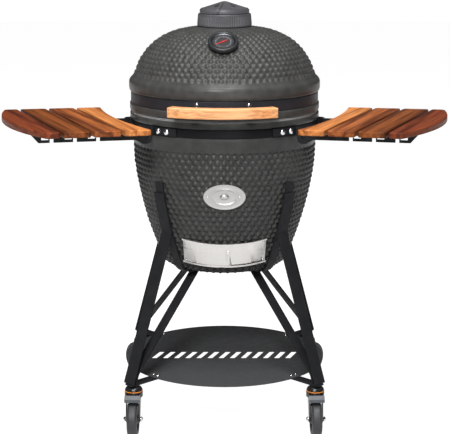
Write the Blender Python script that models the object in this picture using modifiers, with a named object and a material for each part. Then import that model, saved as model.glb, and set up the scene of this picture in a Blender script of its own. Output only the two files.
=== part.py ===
"""Kamado grill: a two-part ceramic egg in a wheeled four-leg stand, with two fold-down side tables.

Metres, +Z up.  The origin is on the floor under the egg's vertical axis, and the front faces -Y.
"""
import math

import bmesh
import bpy
from mathutils import Matrix, Vector

# ---------------------------------------------------------------- driving dimensions
GAP = 0.0003            # clearance between touching pieces
SEGMENTS = 40           # sides of the large turned pieces

WALL = 0.022            # ceramic wall
RIM_BASE = 0.8850       # top of the base's rim
RIM_LID = 0.8920        # underside of the lid's rim
EGG_BOTTOM = 0.4385
BASE_R, BASE_Z, BASE_H, BASE_P, BASE_Q = 0.2610, 0.7690, 0.5150, 1.494, 1.720
LID_R, LID_Z, LID_H, LID_P, LID_Q = 0.2603, 0.9732, 0.1529, 1.693, 3.215
LID_TOP = 1.1260        # flat seat of the vent
LID_HOLE = 0.0500

BAND_R = 0.2685         # outside of both steel bands
BAND_IN = 0.2653
BASE_BAND_Z = (0.8432, 0.8673)
LID_BAND_Z = (0.9142, 0.9448)

BAR = 0.0050            # thickness of the stand's flat bar
BAR_WIDTH = 0.0400      # legs
BRACE_WIDTH = 0.0300    # saddle straps, braces and foot arms
HUG = 0.0005            # air between the egg and the straps that hold it
STRAP_TOP = 0.7090      # top of the saddle strap
LEG_TOP = 0.6790        # top of the leg where it overlaps the strap
LEG_BEND = 0.5650
FOOT_R, FOOT_Z = 0.3792, 0.1475
ARM_IN, ARM_OUT = 0.2620, 0.3820
ARM_Z = (0.1415, 0.1465)
SHELF_R, SHELF_Z, SHELF_T = 0.2940, 0.1468, 0.0030
SLOTS, SLOT_PITCH, SLOT_LEAN = 13, 0.0330, 0.0120
SLOT_HALF, SLOT_Y = 0.0085, (-0.0390, 0.0270)

CASTER = 0.2560         # stem position from the centre, along X and along Y
WHEEL_R, WHEEL_W, TRAIL = 0.0500, 0.0300, 0.0300
FORK_TOP = 0.1412
FORK_Y = 0.0185         # fork plates' mid planes
PEDAL_PIN = (0.0335, 0.1130)

TABLE_TURN = math.radians(21.9)     # each table is turned towards the front
TABLE_RISE = math.radians(1.64)     # and rises outwards
HINGE_U, HINGE_Z = 0.2760, 0.8420
ARM_V = 0.1045          # table arms, each side of the table's middle
TAB_V = 0.0985
BOARD_T, BOARD_GAP, BOARD_PITCH = 0.0160, 0.0090, 0.0840
BOARD_HALF = 0.2320
BOARD_INNER, INNER_CURVE = 0.0520, 2.07     # middle of the hollow inner edge, and twice its radius
BOARD_OUTER, OUTER_CURVE = 0.3625, 1.115    # middle of the bowed outer edge, and twice its radius
FIRST_GAP_U = 0.3810    # middle of the gap beside the inner board
BOARD_BOTTOM = 0.0199   # above the hinge axis, in the table's own tilt

LID_PIVOT = (0.3050, 0.8890)        # Y, Z of the lid's hinge pin
DRAFT_TILT = math.radians(16.0)
DRAFT_Z, DRAFT_R, DRAFT_CONE = 0.5050, 0.2114, 0.0875
BADGE_Z = 0.6795
BADGE_SIZE = (0.1180, 0.0740)
DIAL_Z = 1.0920         # where the thermometer's axis leaves the lid
DIAL_LEAN = math.radians(56.0)      # its axis above the horizontal

HANDLE_R, HANDLE_DEPTH = 0.3220, 0.0300
HANDLE_Z = (0.9060, 0.9345)
HANDLE_HALF = math.radians(26.4)
HANDLE_POST = math.radians(15.4)
LID_TWIST = math.radians(-1.0)      # the lid's fittings sit slightly left of the base's front

CORNERS = {"front_left": (-1, -1), "front_right": (1, -1), "rear_left": (-1, 1), "rear_right": (1, 1)}
TRAIL_AZIMUTH = {"front_left": -92, "front_right": -88, "rear_left": 132, "rear_right": 48}

PALETTE = {
    "ceramic": ((0.075, 0.078, 0.076), 0.45, 0.0),
    "firebrick": ((0.45, 0.36, 0.27), 0.85, 0.0),
    "black_steel": ((0.016, 0.017, 0.019), 0.45, 0.6),
    "shelf_steel": ((0.060, 0.064, 0.066), 0.55, 0.5),
    "cast_iron": ((0.085, 0.085, 0.092), 0.50, 0.7),
    "stainless": ((0.70, 0.68, 0.66), 0.25, 1.0),
    "felt": ((0.30, 0.30, 0.30), 0.95, 0.0),
    "light_wood": ((0.80, 0.42, 0.17), 0.45, 0.0),
    "acacia": ((0.35, 0.13, 0.05), 0.50, 0.0),
    "gauge_black": ((0.01, 0.01, 0.01), 0.20, 0.2),
    "gauge_red": ((0.80, 0.03, 0.02), 0.40, 0.0),
    "fork_black": ((0.02, 0.02, 0.02), 0.25, 0.3),
    "tyre": ((0.14, 0.14, 0.15), 0.70, 0.0),
    "pedal_grey": ((0.45, 0.47, 0.50), 0.35, 0.6),
}

for old in list(bpy.data.objects):
    bpy.data.objects.remove(old, do_unlink=True)

parts = bpy.data.collections.new("kamado_grill")
cutters = bpy.data.collections.new("cutters")
bpy.context.scene.collection.children.link(parts)
bpy.context.scene.collection.children.link(cutters)
materials = {}


# ---------------------------------------------------------------- helpers
def material(name):
    if name not in materials:
        colour, roughness, metallic = PALETTE[name]
        made = bpy.data.materials.new(name)
        made.use_nodes = True
        shader = made.node_tree.nodes["Principled BSDF"]
        shader.inputs["Base Color"].default_value = (*colour, 1.0)
        shader.inputs["Roughness"].default_value = roughness
        shader.inputs["Metallic"].default_value = metallic
        materials[name] = made
    return materials[name]


def add_object(name, mesh, finish=None, frame=None):
    """A mesh object among the parts, or among the cutters when it has no finish."""
    made = bpy.data.objects.new(name, mesh)
    if finish:
        parts.objects.link(made)
        mesh.materials.append(material(finish))
        for face in mesh.polygons:
            face.material_index = 0
    else:
        cutters.objects.link(made)
        made.hide_render = True
        made.display_type = "WIRE"
    if frame is not None:
        made.matrix_world = frame
    return made


def axes(origin, x_axis, y_axis):
    """Frame from its origin and two perpendicular axes."""
    x = Vector(x_axis).normalized()
    y = Vector(y_axis).normalized()
    frame = Matrix((x, y, x.cross(y))).transposed().to_4x4()
    frame.translation = Vector(origin)
    return frame


def turned(name, profile, finish, closed=False, segments=SEGMENTS, frame=None):
    """Solid of revolution about Z; the profile runs down its outer side."""
    mesh = bpy.data.meshes.new(name)
    edges = [(i, i + 1) for i in range(len(profile) - 1)]
    if closed:
        edges.append((len(profile) - 1, 0))
    mesh.from_pydata([(r, 0.0, z) for r, z in profile], edges, [])
    made = add_object(name, mesh, finish, frame)
    add_screw(made, 2 * math.pi, segments)
    return made


def add_screw(made, angle, steps):
    screw = made.modifiers.new("Turn", "SCREW")
    screw.axis = "Z"
    screw.angle = angle
    screw.steps = steps
    screw.render_steps = steps
    screw.use_merge_vertices = True
    screw.merge_threshold = 0.00001
    screw.use_smooth_shade = False


def curved_plate(name, profile, azimuth, sweep, thickness, finish, steps, frame=None):
    """Sheet whose profile is swept about Z, centred on an azimuth, then thickened."""
    mesh = bpy.data.meshes.new(name)
    edges = [(i, i + 1) for i in range(len(profile) - 1)]
    mesh.from_pydata([(r, 0.0, z) for r, z in profile], edges, [])
    turn = Matrix.Rotation(azimuth - sweep / 2, 4, "Z")
    made = add_object(name, mesh, finish, (frame or Matrix()) @ turn)
    add_screw(made, sweep, steps)
    solid = made.modifiers.new("Thickness", "SOLIDIFY")
    solid.thickness = thickness
    solid.offset = 0.0
    solid.use_even_offset = True
    return made


def flat_solid(name, outlines, thickness, finish, frame):
    """Plate cut to a flat outline; further outlines are its holes."""
    curve = bpy.data.curves.new(name, "CURVE")
    curve.dimensions = "2D"
    curve.fill_mode = "BOTH"
    curve.extrude = thickness / 2
    for outline in outlines:
        spline = curve.splines.new("POLY")
        spline.points.add(len(outline) - 1)
        for point, (x, y) in zip(spline.points, outline):
            point.co = (x, y, 0.0, 1.0)
        spline.use_cyclic_u = True
    outline_object = bpy.data.objects.new(name + "_outline", curve)
    parts.objects.link(outline_object)
    bpy.context.view_layer.update()
    evaluated = outline_object.evaluated_get(bpy.context.evaluated_depsgraph_get())
    mesh = bpy.data.meshes.new_from_object(evaluated)
    bpy.data.objects.remove(outline_object, do_unlink=True)
    work = bmesh.new()
    work.from_mesh(mesh)
    bmesh.ops.remove_doubles(work, verts=work.verts, dist=0.00001)
    bmesh.ops.recalc_face_normals(work, faces=work.faces)
    work.to_mesh(mesh)
    work.free()
    mesh.materials.clear()
    return add_object(name, mesh, finish, frame)


def block(name, low, high, finish, frame=None):
    """Box between two corners of its frame."""
    mesh = bpy.data.meshes.new(name)
    work = bmesh.new()
    bmesh.ops.create_cube(work, size=1.0)
    size = Vector(high) - Vector(low)
    middle = (Vector(high) + Vector(low)) / 2
    bmesh.ops.scale(work, vec=size, verts=work.verts)
    bmesh.ops.translate(work, vec=middle, verts=work.verts)
    work.to_mesh(mesh)
    work.free()
    return add_object(name, mesh, finish, frame)


def rods(name, places, radius, length, finish, segments, frame=None, stretch=1.0):
    """Cylinders along local Z at (x, y, azimuth) places; stretch lengthens them along the azimuth."""
    mesh = bpy.data.meshes.new(name)
    work = bmesh.new()
    for x, y, azimuth in places:
        where = Matrix.Translation((x, y, 0.0)) @ Matrix.Rotation(azimuth, 4, "Z")
        where = where @ Matrix.Diagonal((stretch, 1.0, 1.0, 1.0))
        bmesh.ops.create_cone(work, cap_ends=True, segments=segments, radius1=radius, radius2=radius,
                              depth=length, matrix=where)
    work.to_mesh(mesh)
    work.free()
    return add_object(name, mesh, finish, frame)


def combine(target, other, operation):
    boolean = target.modifiers.new(operation.title(), "BOOLEAN")
    boolean.operation = operation
    boolean.solver = "EXACT"
    boolean.object = other


def arc(cx, cy, radius, start, end, count):
    """Points of an arc, angles in degrees."""
    step = (end - start) / (count - 1)
    angles = [math.radians(start + step * i) for i in range(count)]
    return [(cx + radius * math.cos(a), cy + radius * math.sin(a)) for a in angles]


def circle(cx, cy, radius, count):
    return arc(cx, cy, radius, 0, 360 - 360 / count, count)


def offset_path(path, distance):
    """The path moved sideways, to the left of its direction, with mitred corners."""
    moved = []
    for i, (x, y) in enumerate(path):
        before = Vector(path[max(i - 1, 0)])
        after = Vector(path[min(i + 1, len(path) - 1)])
        here = Vector((x, y))
        first = (here - before) if i else (after - here)
        second = (after - here) if i < len(path) - 1 else (here - before)
        n1 = Vector((-first.y, first.x)).normalized()
        n2 = Vector((-second.y, second.x)).normalized()
        miter = (n1 + n2) / (1.0 + n1.dot(n2))
        moved.append(tuple(here + miter * distance))
    return moved


def strip(path, thickness):
    """Outline of a bent flat bar along a path."""
    return offset_path(path, thickness / 2) + offset_path(path, -thickness / 2)[::-1]


def radial_frame(azimuth):
    """Local X outwards, local Y up."""
    return axes((0, 0, 0), (math.cos(azimuth), math.sin(azimuth), 0), (0, 0, 1))


# ---------------------------------------------------------------- the egg's outline
def base_radius(z):
    depth = max(0.0, (BASE_Z - z) / BASE_H)
    return BASE_R * (1 - depth ** BASE_P) ** (1 / BASE_Q)


def lid_radius(z, shrink=0.0):
    height = max(0.0, (z - LID_Z) / (LID_H - shrink))
    return (LID_R - shrink) * (1 - height ** LID_P) ** (1 / LID_Q)


BELLY = [STRAP_TOP, LEG_TOP, 0.642, 0.604, LEG_BEND, 0.530, 0.500, 0.474, 0.452]
base_side = [(base_radius(z), z) for z in BELLY]
base_foot = [(0.1680, 0.4436), (0.1520, 0.4396), (0.1240, EGG_BOTTOM)]


def make_base():
    lip = [(0.2410, RIM_BASE), (0.2690, RIM_BASE), (0.2710, 0.8830), (0.2710, 0.8710), (0.2690, 0.8680),
           (0.2650, 0.8680), (0.2650, 0.8425), (0.2680, 0.8425), (0.2665, 0.8250), (0.2630, 0.8000),
           (BASE_R, 0.7750), (base_radius(0.74), 0.7400)]
    inside = [(base_radius(z) - WALL, z) for z in (0.474, 0.510, 0.570, 0.660)]
    inner = [(0.0, 0.4605), (0.1200, 0.4605)] + inside + [(0.2390, 0.7700)]
    shell = turned("base_shell", inner + lip + base_side + base_foot + [(0.0, EGG_BOTTOM)], "ceramic")
    opening = block("draft_opening", (-0.078, -0.240, -0.024), (0.078, -0.150, 0.024), None, draft_frame())
    combine(shell, opening, "DIFFERENCE")

    ring("base_band", (BAND_IN, BAND_R), BASE_BAND_Z, "black_steel")
    ring("base_gasket", (0.2430, 0.2690), (RIM_BASE + GAP, RIM_BASE + 0.0033), "felt")


def ring(name, radii, heights, finish, segments=SEGMENTS):
    (inner, outer), (low, high) = radii, heights
    return turned(name, [(inner, high), (outer, high), (outer, low), (inner, low)], finish, True, segments)


def make_inside():
    clearance = WALL + 0.008
    thick = 0.018
    levels = (0.500, 0.545, 0.610, 0.700)
    outer = [(base_radius(z) - clearance, z) for z in reversed(levels)]
    inner = [(r - thick, z) for r, z in reversed(outer)]
    bowl = [(0.0, 0.4800), (0.1100, 0.4800)] + inner + outer + [(0.1150, 0.4612), (0.0, 0.4612)]
    firebox = turned("firebox", bowl, "firebrick", segments=32)
    combine(firebox, block("air_inlet", (-0.055, -0.230, 0.490), (0.055, -0.090, 0.522), None), "DIFFERENCE")
    ring("fire_ring", (0.2040, 0.2220), (0.7003, 0.8350), "firebrick", 32)
    grate("charcoal_grate", 0.1460, 0.5400, 0.0080, 7, 0.0100, 0.0270, "cast_iron")
    grate("cooking_grate", 0.2200, 0.8353, 0.0050, 13, 0.0140, 0.0290, "stainless")


def grate(name, radius, bottom, thickness, slots, slot_width, reach, finish):
    """Round grate with parallel slots; reach is the solid rim left at a slot's end."""
    pitch = 2 * (radius - reach) / slots
    holes = []
    for i in range(slots):
        y = (i - (slots - 1) / 2) * pitch
        half = math.sqrt((radius - reach * 0.5) ** 2 - (abs(y) + slot_width / 2) ** 2)
        low, high = y - slot_width / 2, y + slot_width / 2
        holes.append([(-half, low), (half, low), (half, high), (-half, high)])
    frame = Matrix.Translation((0, 0, bottom + thickness / 2))
    return flat_solid(name, [circle(0, 0, radius, 32)] + holes, thickness, finish, frame)


# ---------------------------------------------------------------- draft door and badge
def draft_frame():
    """Frame of the draft track: its axis leans forward, through the egg's axis."""
    height = DRAFT_Z + base_radius(DRAFT_Z) * math.tan(DRAFT_TILT)
    return Matrix.Translation((0, 0, height)) @ Matrix.Rotation(DRAFT_TILT, 4, "X")


def draft_profile(offsets):
    """Profile points from (distance outwards, height along the track's axis)."""
    return [(DRAFT_R + DRAFT_CONE * s + n, s) for n, s in offsets]


def make_draft():
    front = -math.pi / 2
    frame = draft_frame()
    lips = [(0.0055, 0.0340), (0.0055, 0.0385), (0.0, 0.0385), (0.0, -0.0385), (0.0055, -0.0385),
            (0.0055, -0.0340)]
    track = curved_plate("draft_track", draft_profile(lips), front, math.radians(66), 0.0010, "stainless",
                         14, frame)
    combine(track, block("track_opening", (-0.076, -0.240, -0.022), (0.076, -0.150, 0.022), None, frame),
            "DIFFERENCE")
    # the screen slides behind the door, and both stay between the track's lips
    screen = draft_profile([(0.0018, 0.0365), (0.0018, -0.0365)])
    curved_plate("draft_screen", screen, front + math.radians(15.5), math.radians(27), 0.0008, "stainless",
                 7, frame)
    panel = draft_profile([(0.0036, 0.0365), (0.0036, -0.0365)])
    door = curved_plate("draft_door", panel, front - math.radians(13), math.radians(34), 0.0010,
                        "stainless", 8, frame)
    pull = flat_solid("pull_tab", [draft_profile([(0.0034, -0.0230), (0.0150, -0.0200), (0.0150, 0.0150),
                                                  (0.0034, 0.0180)])], 0.0032, None,
                      frame @ radial_frame(front + math.radians(2.5)))
    combine(door, pull, "UNION")


def make_badge():
    low, high = BADGE_Z - 0.0380, BADGE_Z + 0.0380
    line = [(base_radius(z) + 0.0022, z) for z in (high, BADGE_Z, low)]
    badge = curved_plate("badge_plate", line, -math.pi / 2, math.radians(31), 0.0016, "stainless", 8)
    slope = base_radius(high) - base_radius(low)
    facing = axes((0, -base_radius(BADGE_Z), BADGE_Z), (1, 0, 0), (0, -slope, high - low))
    across, tall = (size / 2 for size in BADGE_SIZE)
    oval = [(across * math.cos(a), tall * math.sin(a)) for a in (2 * math.pi * i / 32 for i in range(32))]
    combine(badge, flat_solid("oval", [oval], 0.060, None, facing), "INTERSECT")


# ---------------------------------------------------------------- lid
def dial_frame():
    radius = lid_radius(DIAL_Z)
    normal = Vector((0, -math.cos(DIAL_LEAN), math.sin(DIAL_LEAN)))
    upright = axes((0, -radius, DIAL_Z), (1, 0, 0), normal.cross(Vector((1, 0, 0))))
    return Matrix.Rotation(LID_TWIST, 4, "Z") @ upright


def make_lid():
    steps = [1.1180, 1.1060, 1.0880, 1.0660, 1.0380, 1.0100]
    dome = [(lid_radius(z), z) for z in steps]
    lip = [(0.2600, 0.9880), (0.2690, 0.9830), (0.2727, 0.9760), (0.2735, 0.9650), (0.2725, 0.9510),
           (0.2690, 0.9460), (0.2650, 0.9455), (0.2650, 0.9135), (0.2697, 0.9130), (0.2715, 0.9090),
           (0.2715, 0.8950), (0.2695, RIM_LID)]
    inside = [(lid_radius(z, WALL), z) for z in (1.030, 1.064, 1.086, 1.097)]
    outer = [(LID_HOLE, LID_TOP), (0.0790, LID_TOP - 0.001)] + dome + lip
    inner = [(0.2410, RIM_LID), (0.2410, 0.9400), (0.2375, 0.9850)] + inside + [(LID_HOLE, 1.1035)]
    shell = turned("lid_shell", outer + inner, "ceramic", closed=True)
    combine(shell, rods("stem_hole", [(0, 0, 0)], 0.0050, 0.120, None, 10, dial_frame()), "DIFFERENCE")

    ring("lid_band", (BAND_IN, BAND_R), LID_BAND_Z, "black_steel")
    ring("lid_gasket", (0.2430, 0.2690), (RIM_LID - 0.0033, RIM_LID - GAP), "felt")
    make_handle()
    make_thermometer()
    make_vent()


def make_handle():
    front = -90.0 + math.degrees(LID_TWIST)
    half = math.degrees(HANDLE_HALF)
    inner, outer = HANDLE_R - HANDLE_DEPTH / 2, HANDLE_R + HANDLE_DEPTH / 2
    outline = arc(0, 0, outer, front - half, front + half, 13)
    outline += arc(0, 0, inner, front + half, front - half, 13)
    low, high = HANDLE_Z
    middle = Matrix.Translation((0, 0, (low + high) / 2))
    flat_solid("lid_handle", [outline], high - low, "light_wood", middle)
    for name, side in (("handle_bracket_left", -1), ("handle_bracket_right", 1)):
        azimuth = math.radians(front) + side * HANDLE_POST
        block(name, (BAND_R + GAP, 0.9155, -0.0090), (inner - 0.0008, 0.9320, 0.0090), "black_steel",
              radial_frame(azimuth))


def make_thermometer():
    body = [(0.0, 0.0090), (0.0335, 0.0090), (0.0335, 0.0120), (0.0375, 0.0148), (0.0420, 0.0120),
            (0.0420, 0.0030), (0.0390, 0.0008), (0.0030, 0.0008), (0.0030, -0.0700), (0.0, -0.0700)]
    turned("thermometer_body", body, "gauge_black", segments=24, frame=dial_frame())
    tip, tail = 0.0240, 0.0140
    hub = arc(0, 0, 0.0032, 30, 150, 4)
    pointer = [(tip, -0.0010), (tip, 0.0010)] + hub + [(-tail, 0.0012), (-tail, -0.0012)]
    pointer += [(x, -y) for x, y in reversed(hub)]
    lean = Matrix.Translation((0, 0, 0.0103)) @ Matrix.Rotation(math.radians(211), 4, "Z")
    flat_solid("thermometer_needle", [pointer], 0.0008, "gauge_red", dial_frame() @ lean)


def make_vent():
    seat = [(0.0, 1.1590), (0.0700, 1.1590), (0.0700, 1.1618), (0.0742, 1.1618), (0.0765, 1.1560),
            (0.0776, 1.1450), (0.0776, 1.1290), (0.0760, 1.1263), (0.0480, 1.1263), (0.0480, 1.1540),
            (0.0, 1.1540)]
    base = turned("vent_base", seat, "cast_iron", segments=32)
    spokes = [math.radians(72 * i + 20) for i in range(5)]
    holes = [(0.032 * math.cos(a), 0.032 * math.sin(a), a) for a in spokes]
    combine(base, rods("seat_holes", holes, 0.0065, 0.02, None, 10, Matrix.Translation((0, 0, 1.1565)), 1.9),
            "DIFFERENCE")

    shell = [(0.0, 1.1962), (0.0050, 1.1958), (0.0672, 1.1755), (0.0705, 1.1730), (0.0705, 1.1650),
             (0.0698, 1.1622), (0.0668, 1.1622), (0.0668, 1.1712), (0.0, 1.1922)]
    cap = turned("vent_cap", shell, "cast_iron", segments=32)
    slots = [(0.034 * math.cos(a), 0.034 * math.sin(a), a) for a in spokes]
    combine(cap, rods("cap_slots", slots, 0.0060, 0.04, None, 10, Matrix.Translation((0, 0, 1.1800)), 2.2),
            "DIFFERENCE")
    lever = [(0.0180, 1.1900), (0.0660, 1.1742), (0.0690, 1.1640), (0.0745, 1.1632), (0.0750, 1.1750),
             (0.0690, 1.1790), (0.0200, 1.1945)]
    combine(cap, flat_solid("cap_lever", [lever], 0.0075, None, radial_frame(math.radians(-105))), "UNION")


def make_lid_hinge():
    y, z = LID_PIVOT
    pivot_hole = circle(y, z, 0.0056, 12)
    lower = [(0.2656, 0.8450), (0.2850, 0.8450), (0.3020, 0.8700)] + arc(y, z, 0.0115, -60, 150, 6)
    lower += [(0.2800, 0.8800), (0.2656, 0.8660)]
    upper = [(0.2666, 0.9165), (0.2752, 0.9150), (0.2945, 0.8860)] + arc(y, z, 0.0115, -120, 30, 5)
    upper += [(0.2930, 0.9300), (0.2780, 0.9420), (0.2666, 0.9420)]
    for name, ear, heights, reach in (("hinge_lower", lower, BASE_BAND_Z, 0.0500),
                                      ("hinge_upper", upper, LID_BAND_Z, 0.0430)):
        pad = [(0.2704, heights[1] - 0.0015), (0.2704, heights[0] + 0.0015)]
        plate = curved_plate(name, pad, math.pi / 2, math.radians(26), 0.0030, "black_steel", 5)
        for side in (-1, 1):
            side_frame = axes((side * reach, 0, 0), (0, 1, 0), (0, 0, 1))
            combine(plate, flat_solid(name + "_ear", [ear, pivot_hole], 0.0040, None, side_frame), "UNION")
    rods("hinge_pin", [(0, 0, 0)], 0.0050, 0.1160, "stainless", 12, axes((0, y, z), (0, 1, 0), (0, 0, 1)))


# ---------------------------------------------------------------- stand
def make_stand():
    hug = base_side + base_foot + [(0.1180, EGG_BOTTOM)]
    saddle = offset_path(hug, HUG + BAR / 2)
    brace = saddle + [(0.3585, 0.1720), (0.3635, 0.1440)]
    over = [p for p in base_side if LEG_BEND <= p[1] <= LEG_TOP]
    leg = offset_path(over, HUG + BAR + GAP + BAR / 2) + [(FOOT_R, FOOT_Z)]
    low, high = ARM_Z
    for corner, (sx, sy) in CORNERS.items():
        frame = radial_frame(math.atan2(sy, sx))
        flat_solid("leg_" + corner, [strip(leg, BAR)], BAR_WIDTH, "black_steel", frame)
        made = flat_solid("brace_" + corner, [strip(brace, BAR)], BRACE_WIDTH, "black_steel", frame)
        half = BRACE_WIDTH / 2
        arm = block("foot_arm_" + corner, (ARM_IN, low, -half), (ARM_OUT, high, half), None, frame)
        combine(made, arm, "UNION")
    ring("cradle_ring", (0.0750, 0.1080), (0.4320, 0.4380), "black_steel", 32)

    slots = []
    near, far = SLOT_Y
    for i in range(SLOTS):
        x = (i - (SLOTS - 1) / 2) * SLOT_PITCH
        slots.append([(x - SLOT_LEAN - SLOT_HALF, near), (x - SLOT_LEAN + SLOT_HALF, near),
                      (x + SLOT_LEAN + SLOT_HALF, far), (x + SLOT_LEAN - SLOT_HALF, far)])
    middle = Matrix.Translation((0, 0, SHELF_Z + SHELF_T / 2))
    flat_solid("bottom_shelf", [circle(0, 0, SHELF_R, 64)] + slots, SHELF_T, "shelf_steel", middle)


def make_casters():
    for corner, (sx, sy) in CORNERS.items():
        azimuth = math.radians(TRAIL_AZIMUTH[corner])
        frame = Matrix.Translation((sx * CASTER, sy * CASTER, 0)) @ Matrix.Rotation(azimuth, 4, "Z")
        make_fork(corner, frame)
        half = WHEEL_W / 2
        shape = [(0.0064, half), (0.0440, half), (WHEEL_R, 0.0095), (WHEEL_R, -0.0095), (0.0440, -half),
                 (0.0064, -half)]
        axle = axes((TRAIL, 0, WHEEL_R), (1, 0, 0), (0, 0, 1))
        turned("caster_wheel_" + corner, shape, "tyre", True, 20, frame @ axle)
        if sy < 0:
            make_pedal(corner, frame @ axes((0, 0, 0), (1, 0, 0), (0, 0, 1)))


def make_pedal(corner, upright):
    """Brake pedal: a hub on the fork's cross pin, between the cheeks, with a wide tread outside them."""
    x, z = PEDAL_PIN
    tread = [(0.0395, 0.1225), (0.0420, 0.1235), (0.0530, 0.1150), (0.0530, 0.1060), (0.0395, 0.1060)]
    pedal = flat_solid("brake_pedal_" + corner, [tread], 0.0440, "pedal_grey", upright)
    hub = [(0.0410, 0.1180), (x - 0.0045, z + 0.0045), (x - 0.0045, z - 0.0045), (0.0410, 0.1080)]
    combine(pedal, flat_solid("hub", [hub, circle(x, z, 0.0023, 8)], 0.0320, None, upright), "UNION")


def make_fork(corner, frame):
    dome = [(0.0, FORK_TOP), (0.0110, FORK_TOP), (0.0110, 0.1390), (0.0190, 0.1370), (0.0260, 0.1310),
            (0.0260, 0.1080), (0.0, 0.1080)]
    fork = turned("caster_fork_" + corner, dome, "fork_black", segments=12, frame=frame)
    braked = "front" in corner
    cheek = [(-0.0180, 0.1085), (-0.0180, 0.1240), (0.0210, 0.1240)]
    cheek += [(0.0370, 0.1170), (0.0370, 0.1080)] if braked else [(0.0270, 0.1070)]
    cheek += [(0.0310, 0.0960), (0.0400, 0.0560), (0.0380, 0.0410), (0.0220, 0.0410), (0.0180, 0.0520)]
    upright = axes((0, 0, 0), (1, 0, 0), (0, 0, 1))
    if braked:
        pin = frame @ Matrix.Translation((PEDAL_PIN[0], 0, PEDAL_PIN[1])) @ upright
        combine(fork, rods("pedal_pin", [(0, 0, 0)], 0.0018, 2 * FORK_Y, None, 8, pin), "UNION")
    for side in (-1, 1):
        place = frame @ Matrix.Translation((0, side * FORK_Y, 0)) @ upright
        combine(fork, flat_solid("cheek", [cheek], 0.0030, None, place), "UNION")
    across = frame @ Matrix.Translation((TRAIL, 0, WHEEL_R)) @ upright
    combine(fork, rods("axle", [(0, 0, 0)], 0.0054, 0.0440, None, 12, across), "UNION")


# ---------------------------------------------------------------- side tables
def table_point(side, u, v, z):
    """World point from the table's outward, rearward and upward distances."""
    cos, sin = math.cos(TABLE_TURN), math.sin(TABLE_TURN)
    return Vector((side * (u * cos + v * sin), -u * sin + v * cos, z))


def outward(side):
    return table_point(side, 1, 0, 0)


def rising(side):
    """Outward direction along the rising boards, and the boards' upward normal."""
    out, up = outward(side), Vector((0, 0, 1))
    cos, sin = math.cos(TABLE_RISE), math.sin(TABLE_RISE)
    return out * cos + up * sin, up * cos - out * sin


def make_table(word, side):
    along, normal = rising(side)
    pivot = table_point(side, HINGE_U, 0, HINGE_Z)
    flat = axes(pivot + normal * (BOARD_BOTTOM + BOARD_T / 2), along, normal.cross(along))
    edges = [FIRST_GAP_U - HINGE_U + i * BOARD_PITCH for i in range(3)]
    rows = 9
    vs = [BOARD_HALF * (2 * i / (rows - 1) - 1) for i in range(rows)]
    inner_edge = [(BOARD_INNER - v * v / INNER_CURVE, v) for v in vs]
    outer_edge = [(BOARD_OUTER - v * v / OUTER_CURVE, v) for v in vs]
    half = BOARD_GAP / 2
    lines = [inner_edge]
    for u in edges:
        lines.append([(u - half, -BOARD_HALF), (u - half, BOARD_HALF)])
        lines.append([(u + half, -BOARD_HALF), (u + half, BOARD_HALF)])
    lines.append(outer_edge)
    for i in range(4):
        outline = lines[2 * i] + lines[2 * i + 1][::-1]
        flat_solid(f"table_{word}_board_{i + 1}", [outline], BOARD_T, "acacia", flat)
    for place, v in (("front", -ARM_V), ("rear", ARM_V)):
        origin = table_point(side, HINGE_U, v, HINGE_Z)
        flat_solid(f"table_{word}_arm_{place}", [arm_outline()], 0.0040, "black_steel",
                   axes(origin, along, normal))
        make_table_bracket(word, place, side)


def arm_outline():
    """Arm in its own plane, from the hinge axis outwards, with three bottom-open utensil hooks."""
    top, bottom = BOARD_BOTTOM - GAP, -0.0105
    outline = [(-0.0180, top), (-0.0180, -0.0080), (-0.0150, -0.0170), (-0.0060, -0.0222),
               (0.0080, -0.0222), (0.0190, -0.0160), (0.0300, bottom)]
    hook_end = 0.1310
    for i in range(3):
        mouth = hook_end + 0.0650 * i
        outline += [(mouth, bottom), (mouth, 0.0045), (mouth + 0.0345, 0.0045), (mouth + 0.0345, -0.0030),
                    (mouth + 0.0140, -0.0030), (mouth + 0.0140, -0.0005), (mouth + 0.0110, -0.0005),
                    (mouth + 0.0110, bottom)]
    outline += [(0.3030, bottom), (0.3310, top)]
    return outline


def make_table_bracket(word, place, side):
    sign = -1 if place == "front" else 1
    low, high = BASE_BAND_Z
    middle = outward(side)
    heading = math.atan2(middle.y, middle.x)
    azimuth = heading + side * sign * math.radians(29.4)
    name = f"table_{word}_bracket_{place}"
    pad = curved_plate(name, [(0.2707, high - 0.0013), (0.2707, low + 0.0013)], azimuth, math.radians(19.2),
                       0.0030, "black_steel", 5)
    tab = [(0.2511, 0.8450), (0.2660, 0.8310)] + arc(HINGE_U, HINGE_Z, 0.0120, -90, 60, 5)
    tab += [(0.2760, 0.8600), (0.2660, 0.8660), (0.2511, 0.8660)]
    frame = axes(table_point(side, 0, sign * TAB_V, 0), middle, (0, 0, 1))
    combine(pad, flat_solid(name + "_tab", [tab], 0.0040, None, frame), "UNION")


make_base()
make_inside()
make_draft()
make_badge()
make_lid()
make_lid_hinge()
make_stand()
make_casters()
make_table("left", -1)
make_table("right", 1)
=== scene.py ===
"""Studio render of a kamado grill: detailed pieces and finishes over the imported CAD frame."""
import math

import bmesh
import bpy
import numpy as np
from mathutils import Matrix, Vector


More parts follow.
